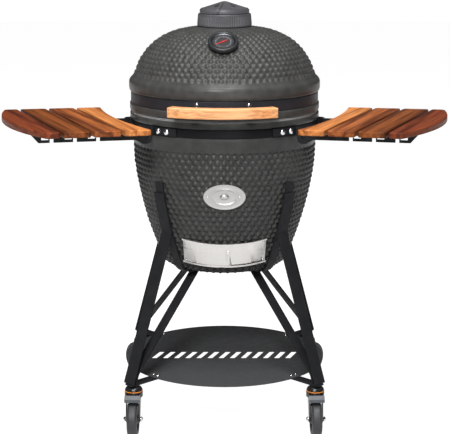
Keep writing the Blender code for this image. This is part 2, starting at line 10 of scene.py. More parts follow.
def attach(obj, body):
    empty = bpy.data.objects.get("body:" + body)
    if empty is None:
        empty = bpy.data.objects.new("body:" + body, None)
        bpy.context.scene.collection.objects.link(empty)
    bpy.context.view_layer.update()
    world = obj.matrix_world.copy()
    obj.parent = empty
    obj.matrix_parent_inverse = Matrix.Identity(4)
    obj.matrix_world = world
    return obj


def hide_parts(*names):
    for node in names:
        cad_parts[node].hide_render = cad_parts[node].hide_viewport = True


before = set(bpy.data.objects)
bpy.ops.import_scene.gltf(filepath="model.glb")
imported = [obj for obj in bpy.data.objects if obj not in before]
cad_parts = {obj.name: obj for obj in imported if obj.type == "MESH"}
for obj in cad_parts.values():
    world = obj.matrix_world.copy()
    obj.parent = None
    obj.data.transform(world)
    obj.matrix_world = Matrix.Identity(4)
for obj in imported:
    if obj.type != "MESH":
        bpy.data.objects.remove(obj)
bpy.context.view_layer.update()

# ---------------------------------------------------------------- dimensions shared with the CAD
WALL = 0.022
# Each egg half: widest radius, the height of that ring, the reach from it, and the curve's exponents.
BASE_R, BASE_Z, BASE_H, BASE_P, BASE_Q = 0.2610, 0.7690, 0.5150, 1.494, 1.720
LID_R, LID_Z, LID_H, LID_P, LID_Q = 0.2603, 0.9732, 0.1529, 1.693, 3.215
GAP, HUG = 0.0003, 0.0005          # clearance between pieces, and air behind the stand's straps
BAR, BAR_WIDTH, BRACE_WIDTH = 0.0050, 0.0400, 0.0300
STRAP_TOP, LEG_TOP, LEG_BEND = 0.7090, 0.6790, 0.5650
CASTER, WHEEL_R, TRAIL, FORK_Y = 0.2560, 0.0500, 0.0300, 0.0185
TABLE_TURN, TABLE_RISE = math.radians(21.9), math.radians(1.64)
HINGE_U, HINGE_Z, ARM_V = 0.2760, 0.8420, 0.1045
BOARD_T, BOARD_HALF, BOARD_BOTTOM = 0.0160, 0.2320, 0.0199
BOARD_INNER, INNER_CURVE = 0.0520, 2.07     # middle of the hollow inner edge, and twice its radius
BOARD_OUTER, OUTER_CURVE = 0.3625, 1.115    # middle of the bowed outer edge, and twice its radius
FIRST_GAP_U, BOARD_GAP, BOARD_PITCH = 0.3810, 0.0090, 0.0840
BADGE_Z, BADGE_WIDE, BADGE_TALL = 0.6795, 0.0588, 0.0369
LID_TWIST = math.radians(-1.0)
DIAL_Z, DIAL_LEAN, POINTER_TURN = 1.0920, math.radians(56.0), math.radians(211)
DRAFT_TILT, DRAFT_Z, DRAFT_R, DRAFT_CONE = math.radians(16.0), 0.5050, 0.2114, 0.0875
HANDLE_R, HANDLE_Z, HANDLE_DEEP, HANDLE_TALL = 0.3220, 0.92025, 0.030, 0.0285
HANDLE_HALF, BRACKET_TURN = 26.4, math.radians(15.4)       # half its arc in degrees, and to a bracket
FRONT = -math.pi / 2
CORNERS = {"front_left": (-1, -1), "front_right": (1, -1), "rear_left": (-1, 1), "rear_right": (1, 1)}
TRAIL_AZIMUTH = {"front_left": -92, "front_right": -88, "rear_left": 132, "rear_right": 48}
BODY = "stand_and_base"

# ---------------------------------------------------------------- mesh density, camera and lamps
EGG_COLUMNS = 576                  # mesh columns round each ceramic half
CAMERA_PLACE, CAMERA_TILT, LENS = (0.0014, -4.1464, 1.4824), math.radians(77.5774), 116.0
AIM = Vector((0, 0, 0.75))         # the point that every lamp faces


def base_radius(z):
    depth = max(0.0, (BASE_Z - z) / BASE_H)
    return BASE_R * (1 - depth ** BASE_P) ** (1 / BASE_Q)


def lid_radius(z, shrink=0.0):
    height = max(0.0, (z - LID_Z) / (LID_H - shrink))
    return (LID_R - shrink) * (1 - height ** LID_P) ** (1 / LID_Q)


# ---------------------------------------------------------------- materials
class Shader:
    """A Principled material with short calls for its procedural detail."""

    def __init__(self, name, colour, roughness, metallic=0.0, **sockets):
        self.material = bpy.data.materials.new(name)
        self.material.use_nodes = True
        self.tree = self.material.node_tree
        self.bsdf = self.tree.nodes["Principled BSDF"]
        self.bsdf.inputs["Base Color"].default_value = (*colour, 1.0)
        self.bsdf.inputs["Roughness"].default_value = roughness
        self.bsdf.inputs["Metallic"].default_value = metallic
        for socket, value in sockets.items():
            self.bsdf.inputs[socket.replace("_", " ")].default_value = value

    def node(self, kind, **settings):
        made = self.tree.nodes.new(kind)
        for key, value in settings.items():
            setattr(made, key, value)
        return made

    def link(self, a, b):
        self.tree.links.new(a, b)

    def noise(self, scale, detail=4.0, stretch=(1, 1, 1), distortion=0.0, turn=(0, 0, 0)):
        coords = self.node("ShaderNodeTexCoord")
        mapping = self.node("ShaderNodeMapping", vector_type="TEXTURE")
        mapping.inputs["Scale"].default_value = [1 / s for s in stretch]
        mapping.inputs["Rotation"].default_value = turn
        made = self.node("ShaderNodeTexNoise")
        made.inputs["Scale"].default_value = scale
        made.inputs["Detail"].default_value = detail
        made.inputs["Distortion"].default_value = distortion
        self.link(coords.outputs["Object"], mapping.inputs["Vector"])
        self.link(mapping.outputs["Vector"], made.inputs["Vector"])
        return made.outputs["Fac"]

    def ramp(self, source, stops):
        made = self.node("ShaderNodeValToRGB")
        elements = made.color_ramp.elements
        while len(elements) < len(stops):
            elements.new(0.5)
        for element, (place, colour) in zip(elements, stops):
            element.position = place
            element.color = (*colour, 1.0)
        self.link(source, made.inputs["Fac"])
        return made.outputs["Color"]

    def spread(self, source, low, high):
        made = self.node("ShaderNodeMapRange")
        for key, value in (("From Min", 0.3), ("From Max", 0.7), ("To Min", low), ("To Max", high)):
            made.inputs[key].default_value = value
        self.link(source, made.inputs["Value"])
        return made.outputs["Result"]

    def colour(self, source):
        self.link(source, self.bsdf.inputs["Base Color"])

    def roughness(self, source):
        self.link(source, self.bsdf.inputs["Roughness"])

    def bump(self, source, strength, distance):
        made = self.node("ShaderNodeBump")
        made.inputs["Strength"].default_value = strength
        made.inputs["Distance"].default_value = distance
        self.link(source, made.inputs["Height"])
        self.link(made.outputs["Normal"], self.bsdf.inputs["Normal"])


def shades(colour, *factors):
    return [tuple(min(1.0, c * f) for c in colour) for f in factors]


def plain(name, colour, roughness, metallic=0.0, grain=600.0, depth=0.0002, spread=0.15, **sockets):
    """Paint, plastic or metal with fine mottling, uneven gloss and a faint skin."""
    made = Shader(name, colour, roughness, metallic, **sockets)
    dark, light = shades(colour, 1 - spread, 1 + spread)
    made.colour(made.ramp(made.noise(24.0, 6.0), [(0.3, dark), (0.7, light)]))
    made.roughness(made.spread(made.noise(55.0, 5.0), roughness * 0.85, min(1.0, roughness * 1.2)))
    made.bump(made.noise(grain, 3.0), 0.35, depth)
    return made.material


def brushed(name, colour, roughness, stretch):
    """Bare metal with fine lines along the axis with the small stretch."""
    made = Shader(name, colour, roughness, 1.0)
    dark, light = shades(colour, 0.93, 1.04)
    lines = made.noise(420.0, 3.0, stretch)
    made.colour(made.ramp(lines, [(0.3, dark), (0.7, light)]))
    made.roughness(made.spread(lines, roughness * 0.75, roughness * 1.3))
    made.bump(lines, 0.06, 0.0001)
    return made.material


def wood(name, light, dark, stretch, roughness=0.45, turn=(0, 0, 0)):
    """Long grain along the axis with the small stretch, with pores and broad colour bands.
    turn is the rotation of the piece that the grain follows."""
    made = Shader(name, light, roughness, Specular_IOR_Level=0.14)
    middle = tuple((a + b) / 2 for a, b in zip(light, dark))
    bands = made.noise(26.0, 3.0, stretch, 1.2, turn)
    grain = made.noise(140.0, 6.0, stretch, 0.4, turn)
    mix = made.node("ShaderNodeMix", data_type="RGBA", blend_type="MULTIPLY")
    mix.inputs["Factor"].default_value = 0.55
    made.link(made.ramp(bands, [(0.38, dark), (0.5, middle), (0.62, light)]), mix.inputs["A"])
    made.link(made.ramp(grain, [(0.38, (0.42, 0.34, 0.28)), (0.56, (1.0, 1.0, 1.0))]), mix.inputs["B"])
    made.colour(mix.outputs["Result"])
    made.roughness(made.spread(grain, roughness * 1.2, roughness * 0.8))
    made.bump(grain, 0.25, 0.0003)
    return made.material


def ceramic_glaze():
    colour = (0.049, 0.0495, 0.0475)
    made = Shader("ceramic_glaze", colour, 0.46, Specular_IOR_Level=0.20)
    dark, light = shades(colour, 0.78, 1.2)
    made.colour(made.ramp(made.noise(38.0, 6.0), [(0.3, dark), (0.72, light)]))
    made.roughness(made.spread(made.noise(90.0, 4.0), 0.30, 0.44))
    made.bump(made.noise(420.0, 3.0), 0.22, 0.0003)
    return made.material


MATERIALS = {
    "ceramic": ceramic_glaze(),
    "firebrick": plain("fired_clay", (0.40, 0.31, 0.22), 0.85, grain=300.0, depth=0.0006),
    "black": plain("black_powder_coat", (0.009, 0.0095, 0.0110), 0.42, grain=900.0, Specular_IOR_Level=0.18),
    "band": plain("band_coat", (0.008, 0.0085, 0.0095), 0.38, grain=900.0, Specular_IOR_Level=0.08),
    # The lid band is the band coat painted lighter and a little bluer: painted light for the upper band's
    # brighter look under the top lamps. The lower band keeps the darker coat.
    "lid_band": plain("band_coat_painted_lighter", (0.021, 0.022, 0.027), 0.45, grain=900.0, Specular_IOR_Level=0.2),
    "bar": plain("stand_coat", (0.0170, 0.0177, 0.0196), 0.50, grain=700.0, Specular_IOR_Level=0.08),
    "shelf": plain("shelf_coat", (0.050, 0.052, 0.053), 0.62, grain=500.0, depth=0.00004, spread=0.04,
                   Specular_IOR_Level=0.2),
    "iron": plain("cast_iron", (0.064, 0.064, 0.070), 0.50, grain=320.0, depth=0.0005),
    "stainless": brushed("brushed_stainless", (0.60, 0.585, 0.57), 0.34, (0.02, 0.02, 1.0)),
    "grate": brushed("grate_steel", (0.50, 0.49, 0.48), 0.35, (0.02, 1.0, 1.0)),
    "chrome": plain("polished_chrome", (0.62, 0.62, 0.64), 0.20, 1.0, spread=0.03),
    "felt": plain("gasket_felt", (0.30, 0.30, 0.30), 0.95, grain=1400.0, depth=0.0008),
    "beech": wood("handle_wood", (0.93, 0.455, 0.215), (0.84, 0.375, 0.15), (0.05, 1.0, 1.0), 0.40),
    "dial": plain("dial_face", (0.012, 0.012, 0.013), 0.5),
    "badge": brushed("badge_steel", (0.42, 0.41, 0.40), 0.42, (1.0, 0.02, 1.0)),
    "bezel": plain("black_chrome", (0.018, 0.019, 0.021), 0.36, 0.0, spread=0.05, Specular_IOR_Level=0.35),
    "ring": plain("smoked_chrome", (0.16, 0.165, 0.18), 0.34, 1.0, spread=0.05),
    "white": plain("dial_print", (0.24, 0.25, 0.28), 0.6, spread=0.03),
    "red": plain("pointer_red", (0.62, 0.015, 0.012), 0.4, spread=0.05),
    "fork": plain("gloss_black", (0.014, 0.014, 0.015), 0.22, spread=0.05),
    "tyre": plain("tread_rubber", (0.030, 0.031, 0.034), 0.50, grain=700.0, depth=0.0004),
    "hub": plain("hub_plastic", (0.016, 0.016, 0.017), 0.45),
    "pedal": plain("pedal_coat", (0.078, 0.085, 0.095), 0.40, spread=0.06),
    "orange": plain("seal_orange", (0.72, 0.22, 0.012), 0.38, spread=0.05),
}
# Light and dark grain of each board, from the inner one out.
BOARD_TONES = [((0.72, 0.270, 0.080), (0.28, 0.085, 0.022)), ((0.40, 0.118, 0.032), (0.12, 0.031, 0.010)),
               ((0.25, 0.072, 0.018), (0.085, 0.022, 0.007)), ((0.21, 0.046, 0.016), (0.085, 0.018, 0.008))]


# ---------------------------------------------------------------- building helpers
def axes(origin, x_axis, y_axis):
    x, y = Vector(x_axis).normalized(), Vector(y_axis).normalized()
    made = Matrix((x, y, x.cross(y))).transposed().to_4x4()
    made.translation = Vector(origin)
    return made


def heading(azimuth):
    return Vector((math.cos(azimuth), math.sin(azimuth), 0))


def radial_frame(azimuth):
    """Frame with X outwards along the azimuth and Y up."""
    return axes((0, 0, 0), heading(azimuth), (0, 0, 1))


def piece(name, mesh, finish, body, place=None, replaces=(), smooth=35.0, bevel=0.0, bevel_steps=2):
    """Shown piece riding on a CAD body, optionally standing for CAD nodes. Its place goes into
    the mesh, so that its box lies along the object's own axes."""
    if place:
        mesh.transform(place)
    made = bpy.data.objects.new(name, mesh)
    bpy.context.scene.collection.objects.link(made)
    mesh.materials.clear()
    mesh.materials.append(MATERIALS[finish] if isinstance(finish, str) else finish)
    finish_edges(made, smooth, bevel, bevel_steps)
    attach(made, body)
    if replaces:
        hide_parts(*replaces)


def finish_edges(made, smooth, bevel, steps=2):
    """Rounded edges, and smooth shading below an angle in degrees; zero leaves either out."""
    if bevel:
        rounding = made.modifiers.new("Rounding", "BEVEL")
        rounding.width = bevel
        rounding.segments = steps
        rounding.limit_method = "ANGLE"
        rounding.angle_limit = math.radians(32)
    if smooth:
        mesh = made.data
        mesh.shade_smooth()
        mesh.set_sharp_from_angle(angle=math.radians(smooth))


def dress(node, finish, bevel=0.0):
    """Finish a CAD node that keeps its own shape."""
    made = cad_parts[node]
    made.data.materials.clear()
    made.data.materials.append(MATERIALS[finish])
    if bevel:
        weld = made.modifiers.new("Weld", "WELD")
        weld.merge_threshold = 0.00001
        finish_edges(made, 0, bevel)


def mesh_of(name, verts, faces):
    mesh = bpy.data.meshes.new(name)
    mesh.from_pydata([tuple(map(float, v)) for v in verts], [], faces)
    mesh.validate()
    return mesh


def ring_faces(rings):
    """Faces between neighbouring rings of vertex numbers; one number repeated makes a pole."""
    faces = []
    for upper, lower in zip(rings, rings[1:]):
        for k in range(len(upper)):
            n = (k + 1) % len(upper)
            face = list(dict.fromkeys((upper[k], lower[k], lower[n], upper[n])))
            if len(face) > 2:
                faces.append(face)
    return faces


def turned(profile, segments, closed=False):
    """Vertices and faces of a solid of revolution about Z; points on the axis become poles."""
    verts, rings = [], []
    for r, z in profile:
        if r < 1e-6:
            rings.append([len(verts)] * segments)
            verts.append((0.0, 0.0, z))
        else:
            rings.append(list(range(len(verts), len(verts) + segments)))
            verts += [(r * math.cos(a), r * math.sin(a), z)
                      for a in (2 * math.pi * k / segments for k in range(segments))]
    return verts, ring_faces(rings + rings[:1] if closed else rings)


def turned_mesh(name, profile, segments, closed=False):
    return mesh_of(name, *turned(profile, segments, closed))


def shape_of(mesh, matrix):
    """A mesh as the (vertices, faces, matrix) that gathered takes."""
    return [v.co.copy() for v in mesh.vertices], [list(p.vertices) for p in mesh.polygons], matrix


def gathered(name, shapes):
    """One mesh from (vertices, faces, matrix) shapes."""
    verts, faces = [], []
    for v, f, matrix in shapes:
        start = len(verts)
        verts += [matrix @ Vector(p) for p in v]
        faces += [[i + start for i in face] for face in f]
    return mesh_of(name, verts, faces)


def flat_mesh(name, outlines, thickness):
    """Plate with its mid-plane at z = 0; outlines after the first are holes."""
    curve = bpy.data.curves.new(name, "CURVE")
    curve.dimensions = "2D"
    curve.fill_mode = "BOTH"
    curve.extrude = thickness / 2
    for outline in outlines:
        spline = curve.splines.new("POLY")
        spline.points.add(len(outline) - 1)
        for point, (x, y) in zip(spline.points, outline):
            point.co = (x, y, 0.0, 1.0)
        spline.use_cyclic_u = True
    holder = bpy.data.objects.new(name, curve)
    bpy.context.scene.collection.objects.link(holder)
    bpy.context.view_layer.update()
    mesh = bpy.data.meshes.new_from_object(holder.evaluated_get(bpy.context.evaluated_depsgraph_get()))
    bpy.data.objects.remove(holder, do_unlink=True)
    work = bmesh.new()
    work.from_mesh(mesh)
    bmesh.ops.remove_doubles(work, verts=work.verts, dist=0.00001)
    bmesh.ops.dissolve_limit(work, angle_limit=0.01, verts=work.verts, edges=work.edges)
    bmesh.ops.recalc_face_normals(work, faces=work.faces)
    work.to_mesh(mesh)
    work.free()
    return mesh


def boolean(mesh, steps):
    """The mesh after Boolean steps of (operation, mesh, matrix)."""
    made = bpy.data.objects.new("work", mesh)
    bpy.context.scene.collection.objects.link(made)
    cutters = []
    for operation, other, matrix in steps:
        cutter = bpy.data.objects.new("cutter", other)
        bpy.context.scene.collection.objects.link(cutter)
        cutter.matrix_world = matrix
        cutters.append(cutter)
        step = made.modifiers.new(operation, "BOOLEAN")
        step.operation = operation
        step.solver = "EXACT"
        step.object = cutter
    bpy.context.view_layer.update()
    result = bpy.data.meshes.new_from_object(made.evaluated_get(bpy.context.evaluated_depsgraph_get()))
    for spent in [made, *cutters]:
        bpy.data.objects.remove(spent, do_unlink=True)
    return result


def box_mesh(low, high):
    x0, y0, z0 = low
    x1, y1, z1 = high
    verts = [(x, y, z) for x in (x0, x1) for y in (y0, y1) for z in (z0, z1)]
    faces = [(0, 1, 3, 2), (4, 6, 7, 5), (0, 4, 5, 1), (2, 3, 7, 6), (0, 2, 6, 4), (1, 5, 7, 3)]
    return mesh_of("box", verts, faces)


def arc(cx, cy, radius, start, end, count):
    step = (end - start) / (count - 1)
    angles = [math.radians(start + step * i) for i in range(count)]
    return [(cx + radius * math.cos(a), cy + radius * math.sin(a)) for a in angles]


def circle(cx, cy, radius, count):
    return arc(cx, cy, radius, 0, 360 - 360 / count, count)


def offset_path(path, distance):
    """The path moved to its left, with its corners kept sharp."""
    moved = []
    for i, (x, y) in enumerate(path):
        here = Vector((x, y))
        first = (here - Vector(path[i - 1])) if i else (Vector(path[1]) - here)
        second = (Vector(path[i + 1]) - here) if i < len(path) - 1 else first
        n1 = Vector((-first.y, first.x)).normalized()
        n2 = Vector((-second.y, second.x)).normalized()
        moved.append(tuple(here + (n1 + n2) / (1.0 + n1.dot(n2)) * distance))
    return moved


def strip(path, thickness):
    return offset_path(path, thickness / 2) + offset_path(path, -thickness / 2)[::-1]


def rounded(points, radius, steps=4):
    """Open polyline with its corners rounded and its ends kept."""
    made = [points[0]]
    for before, here, after in zip(points, points[1:], points[2:]):
        a, b, c = Vector(before), Vector(here), Vector(after)
        cut = min(radius, (a - b).length * 0.45, (c - b).length * 0.45)
        start, end = b + (a - b).normalized() * cut, b + (c - b).normalized() * cut
        for i in range(steps + 1):
            t = i / steps
            made.append(tuple(start * (1 - t) ** 2 + b * 2 * t * (1 - t) + end * t ** 2))
    return made + [points[-1]]


def rounded_loop(points, radius, steps=4):
    return rounded([points[-1]] + points + [points[0]], radius, steps)[1:-1]


# Half section of a bolt head, in parts of its radius and height.
DOME_HEAD = [(0.0, 1.0), (0.35, 0.94), (0.62, 0.78), (0.85, 0.52), (1.0, 0.14), (1.0, 0.0)]


def dome_heads(name, places, radius, height, finish, body):
    """Domed bolt heads standing on (point, axis) places."""
    verts, faces = turned([(r * radius, z * height) for r, z in DOME_HEAD] + [(0.0, 0.0)], 20)
    shapes = []
    for point, axis in places:
        z = Vector(axis).normalized()
        x = z.orthogonal().normalized()
        shapes.append((verts, faces, axes(point, x, z.cross(x))))
    piece(name, gathered(name, shapes), finish, body, smooth=50)


# ---------------------------------------------------------------- ceramic shells
def resampled(profile, step):
    """Points along a polyline at an even spacing, with arc length and outward normal."""
    points = np.array(profile)
    lengths = np.r_[0, np.cumsum(np.hypot(*np.diff(points, axis=0).T))]
    count = max(2, int(lengths[-1] / step) + 1)
    t = np.linspace(0, lengths[-1], count)
    r, z = np.interp(t, lengths, points[:, 0]), np.interp(t, lengths, points[:, 1])
    dr, dz = np.gradient(r, t), np.gradient(z, t)
    size = np.hypot(dr, dz)
    return t, r, z, -dz / size, dr / size


def pebbles(t, r, across, down, reach, height, columns):
    """Heights of staggered rounded bumps on a surface of revolution; t is the arc length down it.
    Rows are counted from the front, so the bumps stagger evenly there and drift into diagonals."""
    phi = (np.arange(columns) * 2 * math.pi / columns - FRONT + math.pi) % (2 * math.pi) - math.pi
    field = np.zeros((len(t), columns))
    row = np.floor(t / down)
    for shift in (0, 1):
        k = row + shift
        middle = k * down
        around = np.maximum(6, np.round(2 * math.pi * np.interp(middle, t, r) / across / 2) * 2)
        spacing = (2 * math.pi / around)[:, None]
        sideways = phi[None, :] / spacing - ((k % 2) * 0.5)[:, None]
        bump = np.round(sideways)
        uneven = np.sin(12.9 * k[:, None] + 7.3 * (bump % around[:, None]))
        sideways = (sideways - bump + 0.07 * uneven) * spacing * r[:, None]
        x = np.minimum(1.0, (sideways ** 2 + ((t - middle)[:, None]) ** 2) / reach ** 2)
        field = np.maximum(field, height * (0.90 + 0.10 * uneven) * (1 - x) ** 1.35)
    return field


def bumpy_skin(profile, step, columns, across, down, reach, height, fade):
    """Grid of points round a profile with bumps raised on it, fading at both ends."""
    t, r, z, nr, nz = resampled(profile, step)
    field = pebbles(t, r, across, down, reach, height, columns)
    ends = np.clip(np.minimum(t / fade[0], (t[-1] - t) / fade[1]), 0, 1)
    field = (field - height * 0.70) * (ends * ends * (3 - 2 * ends))[:, None]
    phi = np.arange(columns) * 2 * math.pi / columns
    radius = r[:, None] + nr[:, None] * field
    heights = z[:, None] + nz[:, None] * field
    return np.stack([radius * np.cos(phi), radius * np.sin(phi), heights], axis=2)


def rings_of(profile, columns):
    """Grid of points round a plain profile."""
    phi = np.arange(columns) * 2 * math.pi / columns
    points = np.array(profile)
    return np.stack([points[:, :1] * np.cos(phi), points[:, :1] * np.sin(phi),
                     np.repeat(points[:, 1:], columns, axis=1)], axis=2)


def skin_mesh(name, blocks):
    """Closed mesh from stacked grids of rings, down the outer side and up the inner one."""
    grid = np.concatenate(blocks)
    rows, columns, _ = grid.shape
    index = np.arange(rows * columns).reshape(rows, columns)
    index = np.vstack([index, index[:1]])
    following = np.roll(index, -1, axis=1)
    quads = np.stack([index[:-1], index[1:], following[1:], following[:-1]], axis=2)
    mesh = bpy.data.meshes.new(name)
    mesh.from_pydata(grid.reshape(-1, 3).tolist(), [], quads.reshape(-1, 4).tolist())
    return mesh


def draft_frame():
    """The door's cone frame: tilted about X, with its origin on the egg's axis."""
    height = DRAFT_Z + base_radius(DRAFT_Z) * math.tan(DRAFT_TILT)
    return Matrix.Translation((0, 0, height)) @ Matrix.Rotation(DRAFT_TILT, 4, "X")


def make_base():
    smooth = [(0.2410, 0.8835), (0.2420, 0.8850), (0.2690, 0.8850), (0.2706, 0.8840), (0.2710, 0.8820),
              (0.2710, 0.8715), (0.2700, 0.8690), (0.2685, 0.8682), (0.2650, 0.8680), (0.2650, 0.8425),
              (0.2678, 0.8424), (0.2683, 0.8405), (0.2676, 0.8340), (0.2662, 0.8240), (0.2646, 0.8140),
              (0.2634, 0.8060)]
    side = [(0.2630, 0.8030), (0.2622, 0.7950), (0.2612, 0.7800)]
    side += [(base_radius(z), z) for z in np.linspace(0.7700, 0.4560, 60)]
    side += [(0.1720, 0.4480), (0.1680, 0.4445), (0.1600, 0.4415), (0.1520, 0.4398)]
    bumps = bumpy_skin(side, 0.0029, EGG_COLUMNS, across=0.0205, down=0.0152, reach=0.0094,
                       height=0.0066, fade=(0.006, 0.010))
    foot = [(0.1400, 0.4388), (0.1180, 0.4385), (0.0300, 0.4385)]
    inside = [(0.0300, 0.4605), (0.1200, 0.4605), (0.1430, 0.4650)]
    inside += [(base_radius(z) - WALL, z) for z in np.linspace(0.4740, 0.7000, 12)] + [(0.2390, 0.7700)]
    blocks = [rings_of(smooth, EGG_COLUMNS), bumps, rings_of(foot + inside, EGG_COLUMNS)]
    opening = box_mesh((-0.078, -0.240, -0.024), (0.078, -0.150, 0.024))
    cut = boolean(skin_mesh("base_ceramic", blocks), [("DIFFERENCE", opening, draft_frame())])
    piece("base_ceramic", cut, "ceramic", BODY, replaces=["base_shell"], smooth=50)


def make_lid():
    crown = [(0.0500, 1.1260), (0.0780, 1.1254)]
    dome = [(0.0790, 1.1252)] + [(lid_radius(z), z) for z in np.linspace(1.1215, 0.9980, 60)]
    dome += [(0.2600, 0.9930), (0.2610, 0.9900)]
    bumps = bumpy_skin(dome, 0.0027, EGG_COLUMNS, across=0.0192, down=0.0146, reach=0.0086,
                       height=0.0050, fade=(0.070, 0.008))
    lip = [(0.2622, 0.9876), (0.2645, 0.9854), (0.2672, 0.9830), (0.2700, 0.9800), (0.2722, 0.9760),
           (0.2733, 0.9710), (0.2735, 0.9640), (0.2733, 0.9560), (0.2725, 0.9505), (0.2710, 0.9474),
           (0.2688, 0.9458), (0.2650, 0.9455), (0.2650, 0.9135), (0.2690, 0.9132), (0.2705, 0.9122),
           (0.2714, 0.9100), (0.2715, 0.8960), (0.2710, 0.8935), (0.2695, 0.8920)]
    inside = [(0.2410, 0.8920), (0.2410, 0.9400), (0.2375, 0.9850)]
    inside += [(lid_radius(z, WALL), z) for z in np.linspace(1.0200, 1.0980, 10)] + [(0.0500, 1.1035)]
    blocks = [rings_of(crown, EGG_COLUMNS), bumps, rings_of(lip + inside, EGG_COLUMNS)]
    piece("lid_ceramic", skin_mesh("lid_ceramic", blocks), "ceramic", "lid", replaces=["lid_shell"],
          smooth=50)


def smooth_ring(name, profile, finish, body, replaces, segments=160):
    piece(name, turned_mesh(name, profile, segments, closed=True), finish, body, replaces=replaces,
          smooth=40)


def make_bands():
    # The upper band takes the lighter copy of the coat, which is painted light; both bands are the same black
    # coat.
    for name, low, high, finish, body, node in (
            ("lower_band", 0.8432, 0.8673, "band", BODY, "base_band"),
            ("upper_band", 0.9142, 0.9448, "lid_band", "lid", "lid_band")):
        profile = [(0.2654, high), (0.2676, high), (0.2684, high - 0.0008), (0.2685, high - 0.0018),
                   (0.2685, low + 0.0018), (0.2684, low + 0.0008), (0.2676, low), (0.2654, low)]
        smooth_ring(name, profile, finish, body, [node])
    for name, low, body, node in (("lower_felt", 0.8853, BODY, "base_gasket"),
                                  ("upper_felt", 0.8887, "lid", "lid_gasket")):
        high = low + 0.0030
        profile = [(0.2432, high), (0.2682, high), (0.2690, high - 0.0010), (0.2690, low + 0.0010),
                   (0.2682, low), (0.2432, low)]
        smooth_ring(name, profile, "felt", body, [node])


# ---------------------------------------------------------------- lid fittings
def make_handle():
    front = -90.0 + math.degrees(LID_TWIST)
    left, right = front - HANDLE_HALF, front + HANDLE_HALF
    outline = arc(0, 0, HANDLE_R + HANDLE_DEEP / 2, left, right, 41)
    outline += arc(0, 0, HANDLE_R - HANDLE_DEEP / 2, right, left, 41)
    mesh = flat_mesh("handle_bar", [outline], HANDLE_TALL)
    piece("handle_bar", mesh, "beech", "lid", Matrix.Translation((0, 0, HANDLE_Z)), ["lid_handle"],
          bevel=0.0030, bevel_steps=4, smooth=60)
    for name, side in (("left", -1), ("right", 1)):
        dress("handle_bracket_" + name, "black", 0.0015)
        facing = heading(FRONT + LID_TWIST + side * BRACKET_TURN)
        places = [(facing * 0.2684 + Vector((0, 0, 0.9350)), facing)]
        dome_heads("handle_bolt_" + name, places, 0.0068, 0.0048, "chrome", "lid")


def dial_frame():
    """The dial's own frame, with Z out of the lid and X to the right."""
    normal = Vector((0, -math.cos(DIAL_LEAN), math.sin(DIAL_LEAN)))
    upright = axes((0, -lid_radius(DIAL_Z), DIAL_Z), (1, 0, 0), normal.cross(Vector((1, 0, 0))))
    return Matrix.Rotation(LID_TWIST, 4, "Z") @ upright


def make_thermometer():
    place = dial_frame()
    case = [(0.0, 0.0060), (0.0315, 0.0060), (0.0320, 0.0115), (0.0332, 0.0136), (0.0352, 0.0147),
            (0.0385, 0.0146), (0.0406, 0.0136), (0.0417, 0.0118), (0.0420, 0.0100), (0.0420, 0.0045),
            (0.0414, 0.0026), (0.0390, 0.0010), (0.0030, 0.0010), (0.0030, -0.0700), (0.0, -0.0700)]
    piece("thermometer_case", turned_mesh("thermometer_case", case, 96), "bezel", "lid", place,
          ["thermometer_body"], smooth=50)
    face = [(0.0, 0.0090), (0.0314, 0.0090), (0.0314, 0.0066), (0.0, 0.0066)]
    piece("thermometer_dial", turned_mesh("thermometer_dial", face, 72), "dial", "lid", place, smooth=40)
    ring = [(0.0292, 0.0098), (0.0300, 0.0108), (0.0312, 0.0112), (0.0318, 0.0104), (0.0316, 0.0092),
            (0.0290, 0.0092)]
    piece("thermometer_ring", turned_mesh("thermometer_ring", ring, 72, closed=True), "ring", "lid", place)
    shapes = []
    first, sweep, steps = -60, 300, 40
    for i in range(steps + 1):
        angle = math.radians(first + sweep * i / steps)
        long = i % 5 == 0
        low, high = (0.0205 if long else 0.0215), 0.0232
        half = 0.0005 if long else 0.00025
        tick = box_mesh((low, -half, 0.0090), (high, half, 0.0092))
        shapes.append(shape_of(tick, Matrix.Rotation(angle, 4, "Z")))
    line = [(0.0198, 0.0092), (0.0204, 0.0092), (0.0204, 0.0090), (0.0198, 0.0090)]
    shapes.append((*turned(line, 72, closed=True), Matrix.Identity(4)))
    piece("thermometer_scale", gathered("thermometer_scale", shapes), "white", "lid", place, smooth=0)
    aim = Matrix.Translation((0, 0, 0.0103)) @ Matrix.Rotation(POINTER_TURN, 4, "Z")
    pointer = [(0.0238, -0.0008), (0.0238, 0.0008), (0.0030, 0.0011)] + arc(0, 0, 0.0030, 24, 156, 9)
    pointer += [(-0.0090, 0.0011), (-0.0138, 0.0013), (-0.0138, -0.0013), (-0.0090, -0.0011)]
    pointer += arc(0, 0, 0.0030, -156, -24, 9) + [(0.0030, -0.0011)]
    piece("thermometer_pointer", flat_mesh("pointer", [pointer], 0.0006), "red", "needle",
          place @ aim, ["thermometer_needle"], smooth=0)
    dome_heads("thermometer_hub", [(place @ Vector((0, 0, 0.0105)), place.col[2].to_3d())], 0.0015, 0.0010,
               "ring", "needle")


